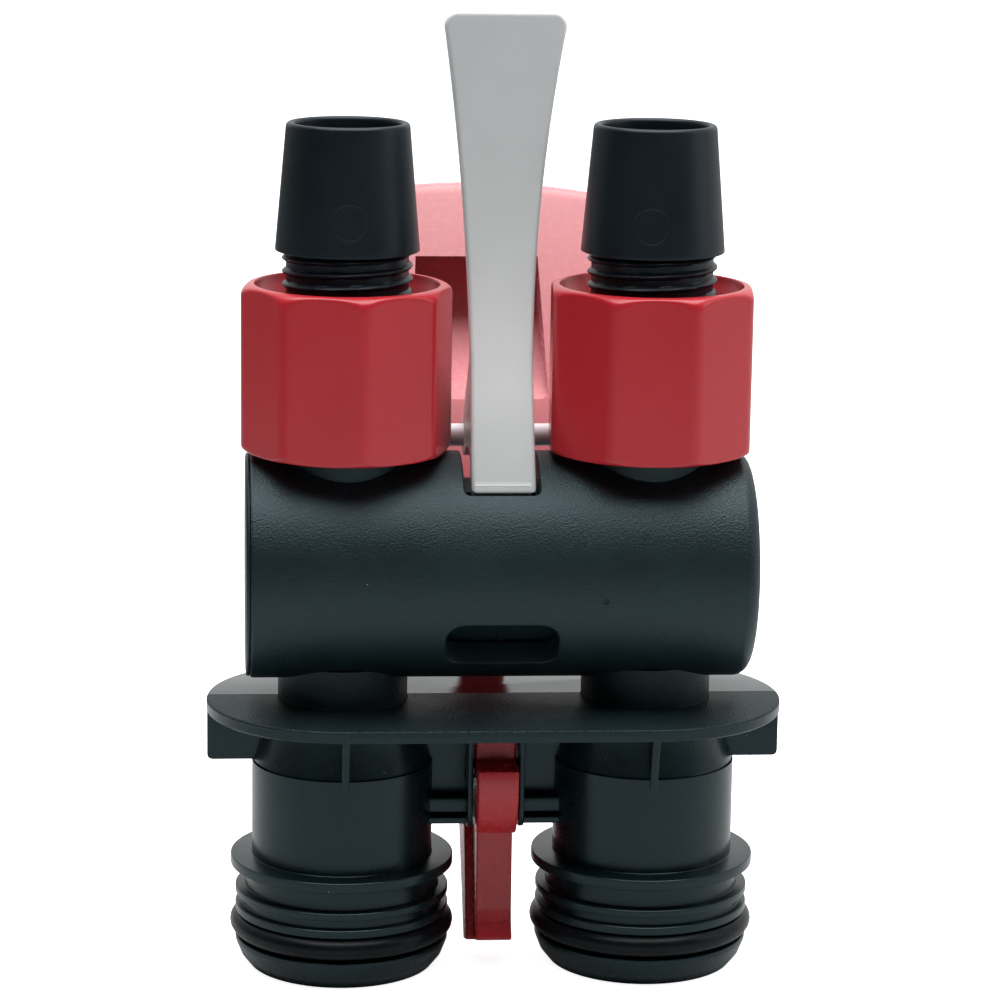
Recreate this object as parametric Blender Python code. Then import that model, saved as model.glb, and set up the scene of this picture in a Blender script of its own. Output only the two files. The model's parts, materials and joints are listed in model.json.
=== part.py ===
"""Twin-hose shut-off block of a canister filter.

A housing with a turning barrel valve carries two hose nozzles with union nuts. It stands on a plug
plate whose two sealed plugs go into the pump head. A grey lever turns the barrel, and a red lever
with a claw locks the plate down. Z is up, the grey lever faces -Y, and the origin lies midway
between the plugs on the underside of the plate.
"""

import math

import bmesh
import bpy

UNIT = 0.001  # the dimensions below are millimetres, and the meshes are metres
GAP = 0.3  # clearance between pieces that touch or slide
FINE = 28  # sides of the large turned shapes
COARSE = 20  # sides of the small turned shapes
SIDES = {"left": -1, "right": 1}
SOLVERS = {"valve_housing": "MANIFOLD"}  # the exact solver leaves this one's crossing bores open

# Both flow paths run straight down through the barrel at this distance from the middle.
PORT_X = 20.0
UPPER_X = 19.7  # the nozzles, their bosses and the nuts stand slightly closer together
PORT_BORE_R = 5.4

# Plug plate
PLATE_R = 17.87
PLATE_TOP = 1.66
PLUG_BOTTOM = -34.5
TUBE_R = 11.9
TUBE_TOP_R = 10.5
TUBE_STEP_Z = -6.5
TUBE_NECK_Z = -2.1
RIM_R = 14.1
COLLAR_R = 14.72
PLUG_BORE_R = 9.6
PLUG_BORE_TOP = -10.0
SOCKET_R = 8.8
WEB_END_X = 37.8
WEB_END_Z = -6.6
BRIDGE_Z = -15.1
BAR_TOP = -11.45
BAR_BOTTOM = -13.55
LUG_INNER_X = 3.0
LUG_OUTER_X = 3.75
LUG_FRONT = -5.8
LUG_BACK = 8.0
LUG_BOTTOM = -15.2
LUG_CORNER_R = 2.2

# Plug O-ring
GROOVE_LOW = -30.6
GROOVE_HIGH = -27.2
GROOVE_R = 11.6
PLUG_RING_R = 13.35
PLUG_RING_SECTION = 1.45

# Valve housing
AXIS_Z = 19.5
HOUSING_R = 14.8
HOUSING_LEFT = -31.9
HOUSING_RIGHT = 33.0
CAVITY_R = 11.8
CAVITY_RIGHT = 30.0
HOUSING_CORNER_R = 2.0
BOSS_R = 8.0
BOSS_TOP = 44.4
BOSS_BORE_R = 6.3
BOSS_BORE_BOTTOM = 35.5
SPIGOT_R = 8.5
SPIGOT_BOTTOM = -8.4
SPIGOT_BORE_R = 6.1
SPIGOT_BORE_TOP = 3.0
SPIGOT_GROOVE_R = 7.0
SPIGOT_RING_Z = -4.0
SLOT_HALF = 5.0
SLOT_FRONT_DEG = 131.0  # measured about the barrel's axis, from the back over the top
SLOT_BACK_DEG = 15.0
WINDOW_HALF = 7.2
WINDOW_TOP_DEG = 200.4
WINDOW_BOTTOM_DEG = 227.5
WINDOW_CORNER_R = 2.4

# End cap
CAP_LEFT = -32.8
CAP_INNER = -32.2
CAP_PLUG_END = -30.1
CAP_RING_X = -31.4
CAP_RING_R = 13.3
CAP_RING_SECTION = 0.5
CAP_GROOVE_END = -30.6

# Valve barrel and its seals
BARREL_R = 11.3
BARREL_HALF = 29.7
BARREL_RING_X = (11.2, 28.4)
BARREL_RING_R = 10.8
BARREL_RING_SECTION = 0.75
BARREL_GROOVE_R = 9.75
BARREL_GROOVE_HALF = 0.95
PORT_SEAL_R = 7.2
PORT_SEAL_BORE_R = 5.7
PORT_POCKET_R = 12.9
PORT_SEAL_OUT_R = 12.6
PORT_SEAL_IN_R = 11.6

# Water-stop lever. Its front is an arc about a point in front of it.
LEVER_ARC_Y = -79.3
LEVER_ARC_Z = 69.4
LEVER_ARC_R = 79.4
LEVER_BOTTOM = 30.9
LEVER_TOP = 91.5
LEVER_THICK = 3.0
LEVER_WAIST_Z = 44.5
LEVER_WAIST_HALF = 4.05
LEVER_TIP_GAIN = 3.6
LEVER_FOOT_HALF = 4.35
LEVER_CORNER_R = 2.0
FOOT_DEG = 122.0
FOOT_INNER_R = 6.5
RIB_THICK = 1.2
RIB_CLEAR_R = 15.2
CROSS_BAR_Y = 9.5
CROSS_BAR_Z = 34.8
CROSS_BAR_R = 1.5
CROSS_BAR_HALF = 8.0
RIB_EYE_R = 2.7

# Hose nozzle
NOZZLE_FOOT = 36.2
NOZZLE_FOOT_R = 6.0
NOZZLE_FOOT_BORE_R = 4.0
SHANK_BOTTOM = BOSS_TOP + GAP
SHANK_R = 7.9
THREAD_R = 8.4
THREAD_PITCH = 1.45
THREAD_TURNS = 3
CONE_BOTTOM = 60.8
CONE_BOTTOM_R = 9.3
NOZZLE_TOP = 77.2
LIP_R = 7.95
LIP_BORE_R = 6.9
NOZZLE_RING_Z = 40.0

# Union nut
NUT_BOTTOM = 34.75
NUT_TOP = 56.5
NUT_FLAT_R = 12.9
NUT_CORNER_ROUND = 2.35
NUT_RIM_R = 12.0
NUT_BORE_R = 8.7
NUT_FACING_DEG = {"left": 7.2, "right": 19.1}

# Lock lever
PIVOT_Y = -1.0
PIVOT_Z = -8.0
HUB_R = 7.3
HUB_HALF = 2.65
NOSE_R = 9.2
PIN_R = 1.3
CLAW_HALF = 2.35
HEEL_X = -3.45
SPADE_TOP = 63.5
SPADE_ARC_R = 107.0
SPADE_HALF = 24.0
SPADE_THICK = 3.0
SCOOP_TOP = 54.0
SCOOP_BOTTOM = 35.0
SCOOP_TOP_HALF = 8.6
SCOOP_BOTTOM_HALF = 9.6
SCOOP_DEPTH = 13.0
SCOOP_WALL = 2.0

BLACK = (0.022, 0.03, 0.034, 1)
RED = (0.47, 0.018, 0.03, 1)
GREY = (0.42, 0.45, 0.45, 1)
RUBBER = (0.014, 0.016, 0.018, 1)
STEEL = (0.55, 0.55, 0.56, 1)


def polar(centre, radius, degrees):
    """The point at this angle on a circle in any plane."""
    turn = math.radians(degrees)
    return (centre[0] + radius * math.cos(turn), centre[1] + radius * math.sin(turn))


def arc(centre, radius, first, last, steps):
    """Points along a circle from one angle to another, both ends included."""
    return [polar(centre, radius, first + (last - first) * i / steps) for i in range(steps + 1)]


def stadium(half_length, radius, steps):
    """Two half circles joined by straight sides."""
    right = arc((half_length, 0), radius, -90, 90, steps)
    return right + arc((-half_length, 0), radius, 90, 270, steps)


def filleted(corners, steps=3):
    """An outline from (a, b, radius) corners, with each corner rounded by its radius."""
    outline = []
    for i, (a, b, radius) in enumerate(corners):
        if radius == 0:
            outline.append((a, b))
            continue
        before, after = corners[i - 1], corners[(i + 1) % len(corners)]
        start = math.atan2(before[1] - b, before[0] - a)
        end = math.atan2(after[1] - b, after[0] - a)
        half = abs((end - start + math.pi) % (2 * math.pi) - math.pi) / 2
        middle = start + ((end - start + math.pi) % (2 * math.pi) - math.pi) / 2
        centre = (
            a + radius / math.sin(half) * math.cos(middle),
            b + radius / math.sin(half) * math.sin(middle),
        )
        sweep = math.pi / 2 - half
        inward = middle + math.pi
        turn = 1 if math.sin(end - start) < 0 else -1
        for step in range(steps + 1):
            angle = inward + turn * sweep * (2 * step / steps - 1)
            outline.append(
                (centre[0] + radius * math.cos(angle), centre[1] + radius * math.sin(angle))
            )
    return outline


def placed(axis, u, v, along):
    """A point from its two cross coordinates and its place along an axis."""
    return {"X": (along, u, v), "Y": (v, along, u), "Z": (u, v, along)}[axis]


def prism(outline, low, high, axis):
    """An outline extruded along an axis: (y, z) along X, (z, x) along Y or (x, y) along Z."""
    made = bmesh.new()
    ends = [[made.verts.new(placed(axis, u, v, end)) for u, v in outline] for end in (low, high)]
    made.faces.new(ends[0][::-1])
    made.faces.new(ends[1])
    for i in range(len(outline)):
        made.faces.new((ends[0][i - 1], ends[0][i], ends[1][i], ends[1][i - 1]))
    bmesh.ops.recalc_face_normals(made, faces=made.faces)
    return made


def turned(profile, axis="Z", about=(0, 0), sides=FINE):
    """A closed profile of (radius, height) points turned about a line along an axis.

    Shapes along X start half a side round, so that their edges never cross those of upright ones.
    """
    made = bmesh.new()
    rings = []
    first_deg = 180 / sides if axis == "X" else 0
    for radius, height in profile:
        if radius == 0:
            rings.append([made.verts.new(placed(axis, *about, height))] * sides)
            continue
        corners = [polar(about, radius, first_deg + 360 * i / sides) for i in range(sides)]
        rings.append([made.verts.new(placed(axis, u, v, height)) for u, v in corners])
    for low, high in zip(rings, rings[1:] + rings[:1]):
        for i in range(sides):
            ring = dict.fromkeys((low[i - 1], low[i], high[i], high[i - 1]))
            if len(ring) > 2:
                made.faces.new(ring)
    bmesh.ops.recalc_face_normals(made, faces=made.faces)
    return made


def rod(radius, low, high, axis="Z", about=(0, 0), sides=FINE):
    """A plain cylinder."""
    return turned([(0, low), (radius, low), (radius, high), (0, high)], axis, about, sides)


def ring(centre_r, section_r, height, axis="Z", about=(0, 0), sides=FINE):
    """A ring of round section."""
    return turned(arc((centre_r, height), section_r, 0, 300, 5), axis, about, sides)


def block(low, high):
    """A box between two corners."""
    outline = [(low[0], low[1]), (high[0], low[1]), (high[0], high[1]), (low[0], high[1])]
    return prism(outline, low[2], high[2], "Z")


def solid(name, made, colour, roughness=0.45, metallic=0.0, pivot=(0, 0, 0)):
    """An object from a bmesh in millimetres, with its origin at the pivot and its own material."""
    mesh = bpy.data.meshes.new(name)
    for vertex in made.verts:
        vertex.co = [(c - p) * UNIT for c, p in zip(vertex.co, pivot)]
    made.to_mesh(mesh)
    made.free()
    mesh.shade_smooth()
    mesh.set_sharp_from_angle(angle=math.radians(35))
    thing = bpy.data.objects.new(name, mesh)
    thing.location = [p * UNIT for p in pivot]
    bpy.context.scene.collection.objects.link(thing)
    material = bpy.data.materials.new(name)
    material.use_nodes = True
    shader = material.node_tree.nodes["Principled BSDF"]
    shader.inputs["Base Color"].default_value = colour
    shader.inputs["Roughness"].default_value = roughness
    shader.inputs["Metallic"].default_value = metallic
    mesh.materials.append(material)
    return thing


def combine(target, made, operation):
    """Adds a Boolean with a helper that stays out of the render. Returns the helper."""
    tool = solid(f"{target.name}.{operation.lower()}", made, BLACK)
    tool.hide_render = True
    tool.display_type = "WIRE"
    modifier = target.modifiers.new(operation, "BOOLEAN")
    modifier.operation = operation
    modifier.solver = SOLVERS.get(target.name, "EXACT")
    modifier.object = tool
    return tool


def fuse(target, *shapes):
    for made in shapes:
        combine(target, made, "UNION")


def cut(target, *shapes):
    for made in shapes:
        combine(target, made, "DIFFERENCE")


def plug_profile():
    """Outer side of one plug, from its tapered nose up to the tube's top inside the plate."""
    return [
        (0, PLUG_BOTTOM),
        (12.2, PLUG_BOTTOM),
        (13.4, -33.0),
        (RIM_R, -31.2),
        (RIM_R, GROOVE_LOW),
        (GROOVE_R, GROOVE_LOW),
        (GROOVE_R, GROOVE_HIGH),
        (RIM_R, GROOVE_HIGH),
        (RIM_R, -26.1),
        (13.2, -26.1),
        (13.2, -24.8),
        (RIM_R, -24.8),
        (RIM_R, -23.8),
        (12.8, -23.8),
        (12.8, -20.9),
        (COLLAR_R, -20.9),
        (COLLAR_R, -19.5),
        (TUBE_R, -19.5),
        (TUBE_R, TUBE_STEP_Z),
        (TUBE_TOP_R, TUBE_NECK_Z),
        (TUBE_TOP_R, PLATE_TOP / 2),
        (0, PLATE_TOP / 2),
    ]


def lug_outline():
    """One ear beside the lock lever, with a straight front and round lower corners."""
    height = LUG_BOTTOM + LUG_CORNER_R
    front = arc((LUG_FRONT + LUG_CORNER_R, height), LUG_CORNER_R, 180, 270, 4)
    back = arc((LUG_BACK - 2 * LUG_CORNER_R, height), LUG_CORNER_R, 270, 340, 3)
    return [(LUG_FRONT, 0.8), *front, *back, (LUG_BACK, 0.8)]


def plug_plate():
    plate = solid("plug_plate", prism(stadium(PORT_X, PLATE_R, 18), 0, PLATE_TOP, "Z"), BLACK)
    for side in SIDES.values():
        centre = side * PORT_X
        inner, outer = sorted((side * LUG_INNER_X, side * LUG_OUTER_X))
        bridge_low, bridge_high = sorted((side * LUG_OUTER_X * 0.9, side * (PORT_X - TUBE_R + 2)))
        web_low, web_high = sorted((side * (PORT_X + TUBE_R - 2), side * WEB_END_X))
        gusset = [(-TUBE_R + 2, 0.4), (-14.5, 0.4), (-14.5, -0.6), (-TUBE_R, -8.2), (-TUBE_R + 2, -8.2)]
        fuse(
            plate,
            turned(plug_profile(), about=(centre, 0)),
            prism(gusset, centre - 0.5, centre + 0.5, "X"),
            block((web_low, -1.2, WEB_END_Z), (web_high, 1.2, 0.6)),
            block((bridge_low, -0.7, BRIDGE_Z + 0.4), (bridge_high, 0.9, 0.5)),
            block((bridge_low, -3.2, BAR_BOTTOM), (bridge_high, 3.2, BAR_TOP)),
            block((bridge_low, -3.2, BRIDGE_Z), (bridge_high, 3.2, BRIDGE_Z + 0.95)),
            prism(lug_outline(), inner, outer, "X"),
        )
    for side in SIDES.values():
        about = (side * PORT_X, 0)
        cut(
            plate,
            rod(PLUG_BORE_R, PLUG_BOTTOM - 1, PLUG_BORE_TOP, about=about),
            rod(SOCKET_R, PLUG_BORE_TOP - 0.5, PLATE_TOP + 1, about=about, sides=COARSE),
        )
    reach = LUG_OUTER_X + 0.05
    cut(plate, rod(PIN_R + GAP, -reach, reach, "X", (PIVOT_Y, PIVOT_Z), 16))


def wedge(inner_r, outer_r, first_deg, last_deg, steps):
    """A sector between two radii about the barrel's axis, as a (y, z) outline."""
    outside = arc((0, AXIS_Z), outer_r, first_deg, last_deg, steps)
    return outside + arc((0, AXIS_Z), inner_r, last_deg, first_deg, steps)


def port_disc(radius, outer_r, side, up):
    """A round pocket about one port, as deep as a circle about the barrel's axis."""
    low, high = sorted((AXIS_Z + up * 9, AXIS_Z + up * (outer_r + 3)))
    return rod(radius, low, high, about=(side * PORT_X, 0), sides=COARSE)


def valve_housing():
    corner = arc((HOUSING_R - HOUSING_CORNER_R, HOUSING_RIGHT - HOUSING_CORNER_R), HOUSING_CORNER_R, 0, 90, 4)
    profile = [(0, HOUSING_LEFT), (HOUSING_R, HOUSING_LEFT), *corner, (0, HOUSING_RIGHT)]
    axis = (0, AXIS_Z)
    housing = solid("valve_housing", turned(profile, "X", axis), BLACK)
    spigot = [
        (0, SPIGOT_BOTTOM),
        (SPIGOT_R, SPIGOT_BOTTOM),
        (SPIGOT_R, SPIGOT_RING_Z - 0.9),
        (SPIGOT_GROOVE_R, SPIGOT_RING_Z - 0.9),
        (SPIGOT_GROOVE_R, SPIGOT_RING_Z + 0.9),
        (SPIGOT_R, SPIGOT_RING_Z + 0.9),
        (SPIGOT_R, AXIS_Z - 12.5),
        (0, AXIS_Z - 12.5),
    ]
    bore = [
        (0, SPIGOT_BOTTOM - 1),
        (SPIGOT_BORE_R, SPIGOT_BOTTOM - 1),
        (SPIGOT_BORE_R, SPIGOT_BORE_TOP),
        (PORT_BORE_R, SPIGOT_BORE_TOP),
        (PORT_BORE_R, BOSS_BORE_BOTTOM),
        (0, BOSS_BORE_BOTTOM),
    ]
    for side in SIDES.values():
        boss = rod(BOSS_R, AXIS_Z + 12.5, BOSS_TOP, about=(side * UPPER_X, 0), sides=COARSE)
        fuse(housing, boss, turned(spigot, about=(side * PORT_X, 0), sides=COARSE))
    cut(housing, rod(CAVITY_R, HOUSING_LEFT - 1, CAVITY_RIGHT, "X", axis))
    for side in SIDES.values():
        upper = (side * UPPER_X, 0)
        cut(housing, rod(BOSS_BORE_R, BOSS_BORE_BOTTOM - 0.1, BOSS_TOP + 1, about=upper, sides=COARSE))
        cut(housing, turned(bore, about=(side * PORT_X, 0), sides=COARSE))
        for up in (-1, 1):
            pocket = combine(housing, port_disc(PORT_SEAL_R + GAP, PORT_POCKET_R, side, up), "DIFFERENCE")
            combine(pocket, rod(PORT_POCKET_R, -31, 29.9, "X", axis), "INTERSECT")
    slot = wedge(CAVITY_R - 1, HOUSING_R + 1, SLOT_BACK_DEG, SLOT_FRONT_DEG, 10)
    groove = [
        (CAP_RING_R - 0.8, HOUSING_LEFT - 1),
        (CAP_RING_R + 0.8, HOUSING_LEFT - 1),
        (CAP_RING_R + 0.8, CAP_GROOVE_END),
        (CAP_RING_R - 0.8, CAP_GROOVE_END),
    ]
    cut(housing, prism(slot, -SLOT_HALF, SLOT_HALF, "X"), turned(groove, "X", axis))
    cut(housing, window_shape())


def window_shape():
    """The long low opening with round corners in the housing's lower front, cut towards the axis."""
    middle = (WINDOW_TOP_DEG + WINDOW_BOTTOM_DEG) / 2
    half_height = HOUSING_R * math.radians(WINDOW_BOTTOM_DEG - WINDOW_TOP_DEG) / 2
    outline = filleted(
        [
            (side * WINDOW_HALF, up * half_height, WINDOW_CORNER_R)
            for side, up in ((-1, -1), (1, -1), (1, 1), (-1, 1))
        ]
    )
    made = prism(outline, CAVITY_R - 3, HOUSING_R + 2, "Z")
    turn = math.radians(middle)
    for vertex in made.verts:
        x, height, out = vertex.co
        vertex.co = (
            x,
            out * math.cos(turn) + height * math.sin(turn),
            AXIS_Z + out * math.sin(turn) - height * math.cos(turn),
        )
    return made


def end_cap():
    profile = [
        (0, CAP_LEFT),
        (HOUSING_R - 0.5, CAP_LEFT),
        (HOUSING_R, CAP_LEFT + 0.5),
        (HOUSING_R, CAP_INNER),
        (CAVITY_R - GAP, CAP_INNER),
        (CAVITY_R - GAP, CAP_PLUG_END),
        (0, CAP_PLUG_END),
    ]
    solid("end_cap", turned(profile, "X", (0, AXIS_Z)), BLACK)
    seal = ring(CAP_RING_R, CAP_RING_SECTION, CAP_RING_X, "X", (0, AXIS_Z), COARSE)
    solid("end_cap_oring", seal, RUBBER)


def foot_outline(margin):
    """The lever's foot in the barrel, as a (y, z) outline, widened by a margin."""
    inner = polar((0, AXIS_Z), FOOT_INNER_R - margin, FOOT_DEG)
    outer = polar((0, AXIS_Z), 15.4 + margin, FOOT_DEG)
    half = LEVER_THICK / 2 + margin
    across = polar((0, 0), half, FOOT_DEG + 90)
    return [
        (inner[0] + across[0], inner[1] + across[1]),
        (inner[0] - across[0], inner[1] - across[1]),
        (outer[0] - across[0], outer[1] - across[1]),
        (outer[0] + across[0], outer[1] + across[1]),
    ]


def valve_barrel():
    profile = [(0, -BARREL_HALF), (BARREL_R, -BARREL_HALF)]
    stations = sorted(side * x for x in BARREL_RING_X for side in (-1, 1))
    for x in stations:
        low, high = x - BARREL_GROOVE_HALF, x + BARREL_GROOVE_HALF
        profile += [(BARREL_R, low), (BARREL_GROOVE_R, low), (BARREL_GROOVE_R, high), (BARREL_R, high)]
    profile += [(BARREL_R, BARREL_HALF), (0, BARREL_HALF)]
    axis = (0, AXIS_Z)
    pivot = (0, 0, AXIS_Z)
    barrel = solid("valve_barrel", turned(profile, "X", axis), BLACK, pivot=pivot)
    for side in SIDES.values():
        cut(barrel, rod(PORT_BORE_R, 0, 2 * AXIS_Z, about=(side * PORT_X, 0), sides=COARSE))
    reach = LEVER_FOOT_HALF + GAP
    cut(barrel, prism(foot_outline(GAP), -reach, reach, "X"))
    for number, x in enumerate(stations, 1):
        seal = ring(BARREL_RING_R, BARREL_RING_SECTION, x, "X", axis, 24)
        solid(f"barrel_oring_{number}", seal, RUBBER, pivot=pivot)


def port_seals():
    """Saddle-shaped seals between the housing's ports and the barrel."""
    for name, side in SIDES.items():
        for place, up in (("upper", 1), ("lower", -1)):
            disc = port_disc(PORT_SEAL_R, PORT_POCKET_R, side, up)
            seal = solid(f"{name}_{place}_port_seal", disc, RUBBER)
            low, high = -30.5, 29.5
            combine(seal, rod(PORT_SEAL_OUT_R, low, high, "X", (0, AXIS_Z)), "INTERSECT")
            cut(seal, rod(PORT_SEAL_IN_R, low, high, "X", (0, AXIS_Z)))
            cut(seal, port_disc(PORT_SEAL_BORE_R, PORT_POCKET_R + 2, side, up))


def lever_half(height):
    """Half the water-stop lever's width at a height: a waist, then a growing paddle."""
    rise = max(0, (height - LEVER_WAIST_Z) / LEVER_WAIST_Z)
    return LEVER_WAIST_HALF + LEVER_TIP_GAIN * rise**1.9


def lever_front(height):
    return LEVER_ARC_Y + math.sqrt(LEVER_ARC_R**2 - (height - LEVER_ARC_Z) ** 2)


def water_stop_lever():
    steps = 16
    heights = [LEVER_BOTTOM + (LEVER_TOP - LEVER_BOTTOM) * i / steps for i in range(steps + 1)]
    front = [(lever_front(z), z) for z in heights]
    inner_r = LEVER_ARC_R + LEVER_THICK
    back = [(LEVER_ARC_Y + math.sqrt(inner_r**2 - (z - LEVER_ARC_Z) ** 2), z) for z in heights]
    top_half = lever_half(LEVER_TOP - LEVER_CORNER_R)
    sides = [(z, lever_half(z)) for z in heights[:-1]]
    corner = arc((LEVER_TOP - LEVER_CORNER_R, top_half - LEVER_CORNER_R), LEVER_CORNER_R, 90, 0, 4)
    half_outline = [p for p in sides if p[0] < LEVER_TOP - LEVER_CORNER_R] + corner
    face = half_outline + [(z, -x) for z, x in reversed(half_outline)]
    pivot = (0, 0, AXIS_Z)
    lever = solid("water_stop_lever", prism(front + back[::-1], -9, 9, "X"), GREY, pivot=pivot)
    combine(lever, prism(face, -30, 30, "Y"), "INTERSECT")
    fuse(lever, prism(foot_outline(0), -LEVER_FOOT_HALF, LEVER_FOOT_HALF, "X"))
    under = arc((0, AXIS_Z), RIB_CLEAR_R, 117, 66, 5)
    eye = arc((CROSS_BAR_Y, CROSS_BAR_Z), RIB_EYE_R, -110, 70, 6)
    rib = [*under, *eye, (lever_front(47) + LEVER_THICK - 0.8, 47.5), (lever_front(36) + 1, 36)]
    for side in SIDES.values():
        low, high = sorted((side * (LEVER_WAIST_HALF - 0.1), side * (LEVER_WAIST_HALF - RIB_THICK)))
        fuse(lever, prism(rib, low, high, "X"))
    cut(lever, rod(CROSS_BAR_R + GAP, -9, 9, "X", (CROSS_BAR_Y, CROSS_BAR_Z), 16))
    end = CROSS_BAR_HALF - 0.6
    bar = [(0, -CROSS_BAR_HALF), (0.9, -CROSS_BAR_HALF), (CROSS_BAR_R, -end)]
    bar += [(CROSS_BAR_R, end), (0.9, CROSS_BAR_HALF), (0, CROSS_BAR_HALF)]
    rod_shape = turned(bar, "X", (CROSS_BAR_Y, CROSS_BAR_Z), 16)
    solid("lever_cross_bar", rod_shape, GREY, pivot=pivot)


def hose_nozzles():
    for name, side in SIDES.items():
        port = (side * UPPER_X, 0)
        ring_low, ring_high = NOZZLE_RING_Z - 0.8, NOZZLE_RING_Z + 0.8
        profile = [
            (NOZZLE_FOOT_BORE_R, NOZZLE_FOOT),
            (NOZZLE_FOOT_R, NOZZLE_FOOT),
            (NOZZLE_FOOT_R, ring_low),
            (4.95, ring_low),
            (4.95, ring_high),
            (NOZZLE_FOOT_R, ring_high),
            (NOZZLE_FOOT_R, SHANK_BOTTOM),
            (SHANK_R, SHANK_BOTTOM),
        ]
        for turn in range(THREAD_TURNS, 0, -1):
            crest = CONE_BOTTOM - 1.0 - (turn - 1) * THREAD_PITCH
            profile += [(SHANK_R, crest - 0.5), (THREAD_R, crest), (SHANK_R, crest + 0.5)]
        lip = arc(((LIP_R + LIP_BORE_R) / 2, NOZZLE_TOP - 0.52), (LIP_R - LIP_BORE_R) / 2, 0, 180, 4)
        profile += [(CONE_BOTTOM_R - 0.4, CONE_BOTTOM), (CONE_BOTTOM_R, CONE_BOTTOM + 0.4), *lip]
        profile += [(5.6, CONE_BOTTOM), (NOZZLE_FOOT_BORE_R, SHANK_BOTTOM + 4)]
        solid(f"{name}_hose_nozzle", turned(profile, about=port, sides=24), BLACK)
        seal = ring(5.65, 0.42, NOZZLE_RING_Z, about=port, sides=COARSE)
        solid(f"{name}_nozzle_oring", seal, RUBBER)


def union_nuts():
    corner_r = (NUT_FLAT_R - NUT_CORNER_ROUND) / math.cos(math.pi / 8)
    for name, side in SIDES.items():
        port = (side * UPPER_X, 0)
        outline = []
        for i in range(8):
            toward = 45 * i + NUT_FACING_DEG[name] - 90
            centre = polar(port, corner_r, toward)
            outline += arc(centre, NUT_CORNER_ROUND, toward - 22.5, toward + 22.5, 4)
        pivot = (side * UPPER_X, 0, NUT_BOTTOM)
        nut = solid(f"{name}_union_nut", prism(outline, NUT_BOTTOM, NUT_TOP, "Z"), RED, 0.3, pivot=pivot)
        envelope = [
            (0, NUT_BOTTOM - 1),
            (NUT_RIM_R + 0.3, NUT_BOTTOM - 1),
            (NUT_RIM_R + 0.3, NUT_BOTTOM + 0.05),
            (NUT_RIM_R + 1.3, NUT_BOTTOM + 0.5),
            (NUT_RIM_R + 2.1, NUT_BOTTOM + 1.7),
            (NUT_RIM_R + 2.1, NUT_TOP - 2.2),
            (NUT_RIM_R + 1.5, NUT_TOP - 0.8),
            (NUT_RIM_R + 0.3, NUT_TOP),
            (NUT_RIM_R - 0.3, NUT_TOP + 0.6),
            (0, NUT_TOP + 0.6),
        ]
        combine(nut, turned(envelope, about=port, sides=32), "INTERSECT")
        funnel = [
            (0, NUT_BOTTOM - 1),
            (NUT_BORE_R, NUT_BOTTOM - 1),
            (NUT_BORE_R, NUT_TOP - 7.5),
            (NUT_RIM_R - 1.4, NUT_TOP - 2.5),
            (NUT_RIM_R - 0.3, NUT_TOP + 1),
            (0, NUT_TOP + 1),
        ]
        cut(nut, turned(funnel, about=port, sides=32))


def spigot_and_plug_rings():
    for name, side in SIDES.items():
        port = (side * PORT_X, 0)
        solid(f"{name}_spigot_oring", ring(7.85, 0.6, SPIGOT_RING_Z, about=port, sides=COARSE), RUBBER)
        height = (GROOVE_LOW + GROOVE_HIGH) / 2
        seal = ring(PLUG_RING_R, PLUG_RING_SECTION, height + 0.1, about=port)
        solid(f"{name}_plug_oring", seal, RUBBER)


def spade_front(height):
    """How far back the lock lever's front lies at a height: it leans back more and more."""
    rise = height / SPADE_TOP
    return 18.9 + 14.6 * rise + 14.5 * rise**1.8


def spade_half(height):
    """Half the lock lever's width at a height: a narrow stem that opens into the spade."""
    opening = min(max((height - 4) / 46, 0), 1)
    return 3.0 + (SPADE_HALF - 3.5) * math.sin(opening * math.pi / 2) ** 1.5 + opening * 0.5


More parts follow.
